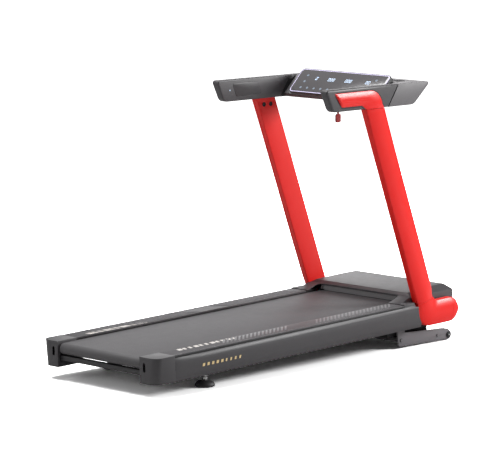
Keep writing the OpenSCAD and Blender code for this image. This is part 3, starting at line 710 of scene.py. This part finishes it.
def build_console():
    """The console front, painted dark as shade where it meets the handles, with the display and the safety
    key.
    """
    piece = softened("console_front", 2.0, 3)
    deliver(piece, graphite_light, "frame", ["console_front"], smooth=40)
    piece.data.materials.append(black_plastic)
    piece.data.materials.append(graphite)
    # Painted shade: the faces against the handles take black plastic, and the inner faces that do not face up
    # take the darker graphite; the upward and outer faces keep the lighter graphite as painted light.
    for face in piece.data.polygons:
        middle = face.center
        if 309 * mm < abs(middle.y) < 313 * mm and abs(face.normal.y) > 0.7:
            face.material_index = 1
        elif abs(middle.y) < 311 * mm and face.normal.z < 0.3 and middle.x < 0.6:
            face.material_index = 2
    for node, paint, radius in CONSOLE_PARTS:
        deliver(softened(node, radius, 2), paint, "frame", [node], smooth=40)
    key = softened("safety_key", 2.5, 4)
    deliver(key, key_red, "safety_key", ["safety_key"], smooth=40)
    lamp = drum("handle_lamp", 2.6, 309.8, 311.2, (1087, 1153.5), 24, "Y")
    round_edges(lamp, 0.5, 2, lambda e: is_sharp(e, 60))
    deliver(lamp, digit_light, "frame", [], LEVEL)


DISPLAY_SLOPE = math.radians(44.5)
DISPLAY = (LEVEL @ Matrix.Translation((1417.5 * mm, 0, 1130 * mm))
           @ Matrix.Rotation(-DISPLAY_SLOPE, 4, "Y"))


# Each number is a plain zero of six bars, measured from its lower right corner in millimetres
DIGIT_WIDE, DIGIT_TALL, BAR_THICK = 9.6, 17.0, 2.1
ZERO_BARS = [((DIGIT_TALL - BAR_THICK, 0), (DIGIT_TALL, DIGIT_WIDE)),
             ((DIGIT_TALL / 2, 0), (DIGIT_TALL, BAR_THICK)),
             ((0, 0), (DIGIT_TALL / 2, BAR_THICK)),
             ((0, 0), (BAR_THICK, DIGIT_WIDE)),
             ((0, DIGIT_WIDE - BAR_THICK), (DIGIT_TALL / 2, DIGIT_WIDE)),
             ((DIGIT_TALL / 2, DIGIT_WIDE - BAR_THICK), (DIGIT_TALL, DIGIT_WIDE))]
# How many zeros each group has, and where it starts across and along the glass
DIGIT_GROUPS = [(1, 153, 79), (3, 77, 78), (3, -26, 79), (2, -149, 80)]
DIGIT_GAP = 4.0
# Centres of the round marks, along and across the glass
MARKS = [(102, 212), (66, 211), (30, 211), (30, 171), (30, 130), (30, 89), (30, 48), (30, 7), (105, -202)]
# The numbers lean about this line on the glass
DIGIT_MIDDLE, DIGIT_LEAN = 88, 0.2


def build_digits():
    """Plain zeros of six bars and small round marks on the glass."""
    bars = []
    for count, across, along in DIGIT_GROUPS:
        for i in range(count):
            y = across - i * (DIGIT_WIDE + DIGIT_GAP)
            for low, high in ZERO_BARS:
                bars.append(block("bar", (along + low[0], y - DIGIT_WIDE + low[1], 0.15),
                                  (along + high[0], y - DIGIT_WIDE + high[1], 0.55)))
    digits = join(*bars)
    digits.name = "display_digits"
    for vertex in digits.data.vertices:
        vertex.co.y -= (vertex.co.x - DIGIT_MIDDLE * mm) * DIGIT_LEAN
    deliver(digits, digit_light, "frame", [], DISPLAY, 30)
    rings = []
    for along, across in MARKS:
        ring = drum("mark", 6.0, 0.15, 0.5, (along, across), 24)
        select_parts(ring, "FACE", lambda f: f.normal.z > 0.9)
        bpy.ops.mesh.inset(thickness=2.0 * mm, depth=0)
        bpy.ops.mesh.inset(thickness=0.1 * mm, depth=-0.25 * mm)
        bpy.ops.object.mode_set(mode="OBJECT")
        rings.append(ring)
    icons = join(*rings)
    icons.name = "display_icons"
    deliver(icons, faint_light, "frame", [], DISPLAY, 30)


# ---- Deck ----

# Strips on each side of the deck: their lowest and highest corners on the left side, and their finish
# The pivot shade plate is a near-black plate under the deck that stands in for the shade there.
STRIPS = [("cap_joint", (99, 300, 60), (107, 350.9, 155), dark_graphite_and_deck_shade),
          ("rail_joint", (110, 346.2, 156), (1529, 350.4, 161.5), joint_black_and_painted_shade),
          ("pivot_shade_plate", (1492, 40, 16), (1549, 276, 82), joint_black_and_painted_shade),
          ("rail_stop", (1529.2, 257, 146), (1600, 312.5, 166.4), joint_black_and_painted_shade)]
# Near-black plates under the deck that stand in for the shade there; they leave room for the actuator between
# them
UNDER_SHADE_PLATES = {"left": (62, 252), "right": (-252, -125)}
# The hood's air slot, whose faces are painted lighter as painted light against its shade: half its width, and
# its reach along and up
SLOT_HALF, SLOT_X, SLOT_Z = 238, (1612, 1640), (157, 185)


def build_deck():
    """Caps, covers, foot rails, marks and strips of both sides, near-black plates of painted shade under the
    deck, then the belt and the hood with its air slot painted lighter as painted light.
    """
    for side, sign in SIDES:
        cap = softened(f"rear_cap_{side}", 5.0, 4)
        draw_in(cap, sign)
        deliver(cap, dark_graphite_and_deck_shade, "frame", [f"rear_cap_{side}"], smooth=40)
        cover = softened(f"side_cover_{side}", 0.8, 2)
        ease_cover_end(cover, sign)
        deliver(cover, dark_graphite_and_deck_shade, "frame", [f"side_cover_{side}"], smooth=40)
        # The ribs take a lighter graphite as painted highlight.
        extras = [
            (build_foot_rail(f"foot_rail_{side}_finished"), rail_graphite, [f"foot_rail_{side}"]),
            (build_rail_ribs(f"foot_rail_ribs_{side}"), rib_graphite_painted_highlight, []),
            (build_side_marks(side), gold_foil, []), (build_rail_marks(side), pale_print, [])]
        extras += [(strip(f"{name}_{side}", low, high), paint, []) for name, low, high, paint in STRIPS]
        for piece, paint, stands_for in extras:
            if sign < 0:
                flip_side(piece)
            deliver(piece, paint, "frame", stands_for, DECK, 40)
        # A near-black plate under the deck, as painted shade.
        near, far = UNDER_SHADE_PLATES[side]
        shade_sheet = strip(f"under_shade_plate_{side}", (1600, near, -8), (1788, far, 59.5))
        deliver(shade_sheet, joint_black_and_painted_shade, "frame", [], DECK, 40)
    belt = softened("running_belt", 0.6, 2)
    deliver(belt, belt_rubber, "frame", ["running_belt"], smooth=40)
    hood = softened("motor_hood", 4.0, 3, sharp=14)
    deliver(hood, graphite, "frame", ["motor_hood"], smooth=40)
    # The air slot's faces take a lighter graphite, as painted light in its shade.
    hood.data.materials.append(hood_slot_painted_light)
    inverse = DECK.inverted()
    for face in hood.data.polygons:
        spot = inverse @ face.center
        along = SLOT_X[0] * mm < spot.x < SLOT_X[1] * mm
        if abs(spot.y) < SLOT_HALF * mm and along and SLOT_Z[0] * mm < spot.z < SLOT_Z[1] * mm:
            face.material_index = 1


def strip(name, low, high):
    """A thin moulded strip with its edges taken off."""
    bar = block(name, low, high)
    round_edges(bar, 0.6, 2)
    return bar


def ease_cover_end(cover, sign):
    """Brings the cover's rear end down flush with the rear cap."""
    for x in (140, 180, 220, 260):
        select_parts(cover, "FACE", lambda f: True)
        bpy.ops.mesh.bisect(plane_co=DECK @ Vector((x * mm, 0, 0)),
                            plane_no=DECK.to_3x3() @ Vector((1, 0, 0)))
        bpy.ops.object.mode_set(mode="OBJECT")
    inverse = DECK.inverted()
    for vertex in cover.data.vertices:
        spot = inverse @ vertex.co
        along = (spot.x - 106 * mm) / (154 * mm)
        if along < 1 and abs(spot.y) > 340 * mm:
            ease = 0.42 + 0.58 * max(0.0, along) ** 0.7
            spot.y = sign * (348 * mm + (abs(spot.y) - 348 * mm) * ease)
            vertex.co = DECK @ spot


def draw_in(cap, sign):
    """Tapers a rear cap's foot inwards, as its moulding is."""
    inverse = DECK.inverted()
    for vertex in cap.data.vertices:
        spot = inverse @ vertex.co
        drop = min(1.0, max(0.0, (150 * mm - spot.z) / (100 * mm)))
        outer = max(0.0, (abs(spot.y) - 300 * mm) / (52 * mm))
        spot.y -= sign * 15 * mm * drop ** 1.3 * outer * max(0.0, 1 - spot.x / (100 * mm))
        vertex.co = DECK @ spot


def build_side_marks(side):
    """A row of plain slanted dashes in foil on the side cover."""
    marks = []
    for i in range(9):
        wide = 13 if i < 5 else 9
        mark = block("mark", (0, -0.2, -13), (wide, 0.2, 13))
        for vertex in mark.data.vertices:
            vertex.co.x += vertex.co.z * 0.32
        place = Matrix.Translation(((262 + i * 27) * mm, 357.0 * mm, 111 * mm))
        settle(mark, place @ Matrix.Rotation(0.045, 4, "X"))
        marks.append(mark)
    row = join(*marks)
    row.name = f"side_dashes_{side}"
    round_edges(row, 0.12, 1)
    return row


def build_rail_marks(side):
    """A row of pale dashes along the inner edge of the foot rail."""
    marks = []
    for i in range(11):
        mark = block("mark", (0, 262, 166.1), (15 if i % 3 else 24, 290, 166.5))
        for vertex in mark.data.vertices:
            vertex.co.x += (vertex.co.y - 276 * mm) * -0.3
        settle(mark, Matrix.Translation(((195 + i * 32) * mm, 0, 0)))
        marks.append(mark)
    row = join(*marks)
    row.name = f"rail_dashes_{side}"
    round_edges(row, 0.12, 1)
    return row


def build_foot_rail(name):
    """The rail the feet stand on: a flat strip with two grooves along its outer edge."""
    rail = block(name, (107.5, 255, 158), (1528, 347.5, 166.2))
    for y in (262, 331, 333.2, 339, 342):
        select_parts(rail, "FACE", lambda f: True)
        bpy.ops.mesh.bisect(plane_co=(0, y * mm, 0), plane_no=(0, 1, 0))
        bpy.ops.object.mode_set(mode="OBJECT")
    for near, far, depth in ((331, 333.2, 1.6), (339, 342, 3.5)):
        select_parts(rail, "FACE", lambda f: f.normal.z > 0.9 and f.calc_center_median().z > 166 * mm
                     and near * mm < f.calc_center_median().y < far * mm)
        bpy.ops.mesh.extrude_region_move(TRANSFORM_OT_translate={"value": (0, 0, -depth * mm)})
    round_edges(rail, 0.7, 2, lambda e: is_sharp(e, 50) and edge_middle(e).z > 160 * mm)
    return rail


# Where each run of ribs starts along the rail, how many it has, and how far apart they are
RIB_RUNS, RIB_PITCH = ((440, 17), (1010, 21)), 23.5


def build_rail_ribs(name):
    """The slanted anti-slip ribs, one modelled and then repeated along the rail."""
    rib = block("rib", (0, 266, 166), (12, 325, 167.8))
    for v in rib.data.vertices:
        v.co.x -= (v.co.y - 295 * mm) * 1.05
    round_edges(rib, 0.7, 2, lambda e: is_sharp(e, 60) and edge_middle(e).z > 166.4 * mm)
    rows = []
    for start, count in RIB_RUNS:
        row = twin(rib, "row")
        settle(row, Matrix.Translation((start * mm, 0, 0)))
        take_up(row)
        repeat = row.modifiers.new("repeat", "ARRAY")
        repeat.use_relative_offset = False
        repeat.use_constant_offset = True
        repeat.constant_offset_displace = (RIB_PITCH * mm, 0, 0)
        repeat.count = count
        bpy.ops.object.modifier_apply(modifier="repeat")
        rows.append(row)
    bpy.data.objects.remove(rib)
    ribs = join(*rows)
    ribs.name = name
    return ribs


# ---- Lever, wheels and feet ----

def cap_screw(name, x, z, radius, high, side, base):
    """A socket-head screw standing outwards from the side of the lever."""
    head = drum(name, radius, base, base + high, (x, z), 32, "Y")
    select_parts(head, "FACE", lambda f: f.normal.y > 0.9)
    bpy.ops.mesh.inset(thickness=radius * 0.42 * mm, depth=0)
    bpy.ops.mesh.inset(thickness=0.15 * mm, depth=-high * 0.6 * mm)
    round_edges(head, radius * 0.12, 2, lambda e: is_sharp(e, 60))
    if side == "right":
        flip_side(head)
    return head


# Side view of the lever, in millimetres: its screws with their radii, its wheels, and its outer face
LEVER_SCREWS = (("pull", 1565, -3, 8.5), ("arm", 1852, 8, 3.2))
WHEEL = (1886, -25.2)
LEVER_FACE = 295
# A foot's place seen from above, on the left
FOOT = (340, 284)
# Parts made of the frame's own shapes with their edges rounded
ROUNDED_PARTS = [("lever_plate", "lever", 1.2, 3, lever_paint), ("wheel", "wheel_{}", 2.0, 3, dark_rubber),
                 ("foot_pad", "foot_{}", 2.0, 3, dark_rubber), ("foot_stem", "foot_{}", 0.4, 2, zinc)]


def build_undercarriage():
    """The lever with its screws and wheels, and the feet."""
    nodes["wheel_axles"].material_slots[0].material = black_plastic
    for side, _ in SIDES:
        for label, x, z, radius in LEVER_SCREWS:
            screw = cap_screw(f"lever_screw_{label}_{side}", x, z, radius, 3.0, side, LEVER_FACE)
            deliver(screw, zinc if label == "arm" else black_plastic, "lever", [], DECK, 40)
        hub = cap_screw(f"wheel_hub_{side}", *WHEEL, 15, 2.4, side, LEVER_FACE + 0.4)
        deliver(hub, black_plastic, "lever", [], DECK, 40)
        tip = cap_screw(f"wheel_screw_{side}", *WHEEL, 3.4, 1.4, side, LEVER_FACE + 5)
        deliver(tip, zinc, "lever", [], DECK, 40)
        nut = drum(f"foot_nut_{side}", 12, 41, 49, FOOT, 6, "Z")
        round_edges(nut, 1.4, 2, lambda e: is_sharp(e, 50))
        washer = drum("washer", 15, 39, 41, FOOT, 32, "Z")
        round_edges(washer, 0.5, 2, lambda e: is_sharp(e, 50))
        nut = join(nut, washer)
        if side == "right":
            flip_side(nut)
        deliver(nut, zinc, f"foot_{side}", [], LEVEL, 40)
    for side, _ in SIDES:
        for part, body, radius, segments, paint in ROUNDED_PARTS:
            piece = softened(f"{part}_{side}", radius, segments)
            deliver(piece, paint, body.format(side), [f"{part}_{side}"], smooth=40)


# ---- Camera, floor and light ----

# The camera's place in metres, where it looks, and its lens
CAMERA_PLACE = (-9.2965, -9.0985, 2.4294)
CAMERA_HEADING, CAMERA_DIP = math.radians(44.56), math.radians(8.04)
CAMERA_LENS, CAMERA_SENSOR = 216.0, 36.0
# Each light's name, place, aim and size in metres, and power in watts
LIGHTS = [("key", (5.0, -4.1, 3.0), (0.3, 0, 0.6), 2.2, 385),
          ("rear fill", (-5.0, 1.5, 1.6), (0, 0, 0.3), 2.5, 34),
          ("backdrop glow", (4.8, 4.8, 2.2), (0, 0, 0.2), 3.4, 50),
          ("overhead", (-0.6, 1.4, 5.8), (0.1, 0, 0.3), 3.6, 360)]
ROOM_LIGHT = 0.20
# The floor as the treadmill sees it, as the camera sees it, and where its glow starts and is full, in metres
FLOOR_BOUNCE, FLOOR_SHOWN, GLOW_STARTS, GLOW_FULL = 0.50, 2.3, 1.7, 3.2


def add_camera():
    """A long lens from behind and to the right of the runner, well above the handles."""
    data = bpy.data.cameras.new("camera")
    data.sensor_width = CAMERA_SENSOR
    data.lens = CAMERA_LENS
    data.clip_end = 100.0
    cam = bpy.data.objects.new("camera", data)
    bpy.context.collection.objects.link(cam)
    heading, dip = CAMERA_HEADING, CAMERA_DIP
    forward = Vector((math.cos(heading) * math.cos(dip), math.sin(heading) * math.cos(dip), -math.sin(dip)))
    right = Vector((math.sin(heading), -math.cos(heading), 0.0))
    up = right.cross(forward)
    turn = Matrix((right, up, -forward)).transposed().to_4x4()
    cam.matrix_world = Matrix.Translation(CAMERA_PLACE) @ turn
    bpy.context.scene.camera = cam


def add_light(name, place, aim, size, power):
    """A soft round light, turned towards its aim."""
    data = bpy.data.lights.new(name, "AREA")
    data.shape = "DISK"
    data.size = size
    data.energy = power
    light = bpy.data.objects.new(name, data)
    bpy.context.collection.objects.link(light)
    light.location = place
    light.rotation_euler = (Vector(aim) - Vector(place)).to_track_quat("-Z", "Y").to_euler()


def add_studio():
    """A white room and floor with four soft lights.

    The floor shows to the camera brighter than it bounces light, so that it stays white under a soft shadow.
    """
    world = bpy.data.worlds.new("studio")
    bpy.context.scene.world = world
    world.use_nodes = True
    tree = world.node_tree
    room = tree.nodes["Background"]
    room.inputs["Color"].default_value = (1.0, 1.0, 1.0, 1.0)
    room.inputs["Strength"].default_value = ROOM_LIGHT
    backdrop = add_node(tree, "ShaderNodeBackground", [],
                        [("Color", (1.0, 1.0, 1.0, 1.0)), ("Strength", 1.0)])
    seen = add_node(tree, "ShaderNodeLightPath").outputs["Is Camera Ray"]
    mix = add_node(tree, "ShaderNodeMixShader", [],
                   [("Fac", seen), (1, room.outputs[0]), (2, backdrop.outputs[0])])
    tree.links.new(mix.outputs[0], tree.nodes["World Output"].inputs["Surface"])
    bpy.context.scene.view_settings.view_transform = "Standard"
    for light in LIGHTS:
        add_light(*light)
    put_down()
    bpy.ops.mesh.primitive_plane_add(size=80, location=(0, 0, -0.0005))
    floor = bpy.context.object
    floor.name = "floor"
    paint = bpy.data.materials.new("floor")
    paint.use_nodes = True
    shader = paint.node_tree.nodes["Principled BSDF"]
    shader.inputs["Base Color"].default_value = (FLOOR_BOUNCE, FLOOR_BOUNCE, FLOOR_BOUNCE, 1)
    shader.inputs["Roughness"].default_value = 0.9
    tree = paint.node_tree
    seen = add_node(tree, "ShaderNodeLightPath").outputs["Is Camera Ray"]
    sweep = add_node(tree, "ShaderNodeBsdfDiffuse", [],
                     [("Color", (FLOOR_SHOWN, FLOOR_SHOWN, FLOOR_SHOWN, 1))])
    mix = add_node(tree, "ShaderNodeMixShader", [],
                   [("Fac", seen), (1, shader.outputs[0]), (2, sweep.outputs[0])])
    place = add_node(tree, "ShaderNodeTexCoord").outputs["Object"]
    far = add_node(tree, "ShaderNodeVectorMath", [("operation", "LENGTH")], [(0, place)]).outputs["Value"]
    rise = add_node(tree, "ShaderNodeMapRange", [("interpolation_type", "SMOOTHSTEP")],
                    [("Value", far), ("From Min", GLOW_STARTS), ("From Max", GLOW_FULL)]).outputs["Result"]
    bright = add_node(tree, "ShaderNodeMath", [("operation", "MULTIPLY")], [(0, rise), (1, seen)]).outputs[0]
    glow = add_node(tree, "ShaderNodeEmission", [], [("Color", (1, 1, 1, 1)), ("Strength", bright)])
    both = add_node(tree, "ShaderNodeAddShader", [], [(0, mix.outputs[0]), (1, glow.outputs[0])])
    tree.links.new(both.outputs[0], tree.nodes["Material Output"].inputs["Surface"])
    floor.data.materials.append(paint)


paint_cad_parts()
build_red_bands()
build_uprights()
build_handles()
build_console()
build_digits()
build_deck()
build_undercarriage()
add_camera()
add_studio()
